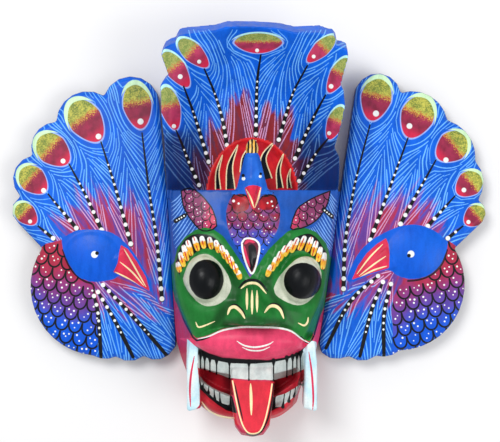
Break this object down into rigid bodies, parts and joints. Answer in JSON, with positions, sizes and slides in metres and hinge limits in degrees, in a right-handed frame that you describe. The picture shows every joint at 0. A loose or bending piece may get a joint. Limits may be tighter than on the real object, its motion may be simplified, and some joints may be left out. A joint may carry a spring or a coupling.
{
  "type": "devil mask",
  "caption": "Carved and painted wooden demon mask with a peacock fan over the face and a feathered wing board at each side, its fangs bared and its tongue out.",
  "frame": {"origin": "middle of the box's underside, on the back plane that the mask lies on", "axes": "+Z out of the face, +Y up the face to the crest, +X to the viewer's right"},
  "size_m": [0.3468, 0.2908, 0.0882],
  "materials": {
    "head_paint": "satin",
    "wing_paint": "satin"
  },
  "bodies": {
    "root": {"mask_head": "head_paint", "left_wing": "wing_paint", "right_wing": "wing_paint"}
  },
  "joints": []
}
